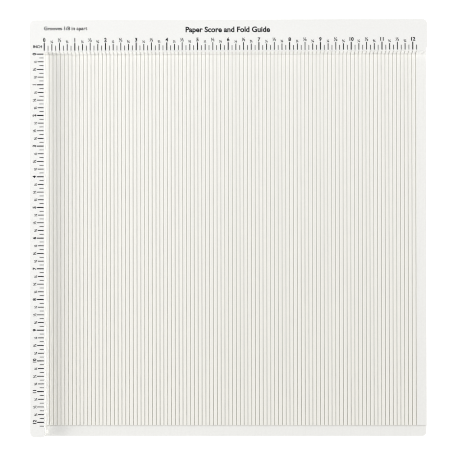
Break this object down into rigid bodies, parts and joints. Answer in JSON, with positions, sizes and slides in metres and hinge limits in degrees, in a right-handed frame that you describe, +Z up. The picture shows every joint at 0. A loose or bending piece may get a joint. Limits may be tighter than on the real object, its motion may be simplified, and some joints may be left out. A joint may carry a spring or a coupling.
{
  "type": "paper scoring board",
  "caption": "Flat grooved board for scoring paper and card, with raised rails along the back and left edges that carry printed inch scales.",
  "frame": {"origin": "on the table, under the middle of the board's outline", "axes": "+Z up, +Y to the back rail (the far edge as the user sits), +X to the right, with the left rail on the -X side"},
  "size_m": [0.3286, 0.3456, 0.0127],
  "materials": {
    "board": "satin moulded white plastic",
    "foot": "matte soft rubber",
    "adhesive": "matte foam tape",
    "ink": "matte printed black"
  },
  "bodies": {
    "root": {"board_moulding": "board", "foot_front_left": "foot", "foot_front_centre": "foot", "foot_front_right": "foot", "foot_middle_left": "foot", "foot_middle_centre": "foot", "foot_middle_right": "foot", "foot_back_left": "foot", "foot_back_centre": "foot", "foot_back_right": "foot", "adhesive_front_left": "adhesive", "adhesive_front_centre": "adhesive", "adhesive_front_right": "adhesive", "adhesive_middle_left": "adhesive", "adhesive_middle_centre": "adhesive", "adhesive_middle_right": "adhesive", "adhesive_back_left": "adhesive", "adhesive_back_centre": "adhesive", "adhesive_back_right": "adhesive", "back_marks": "ink", "left_marks": "ink", "back_numerals": "ink", "left_numerals": "ink", "unit_label": "ink"}
  },
  "joints": []
}
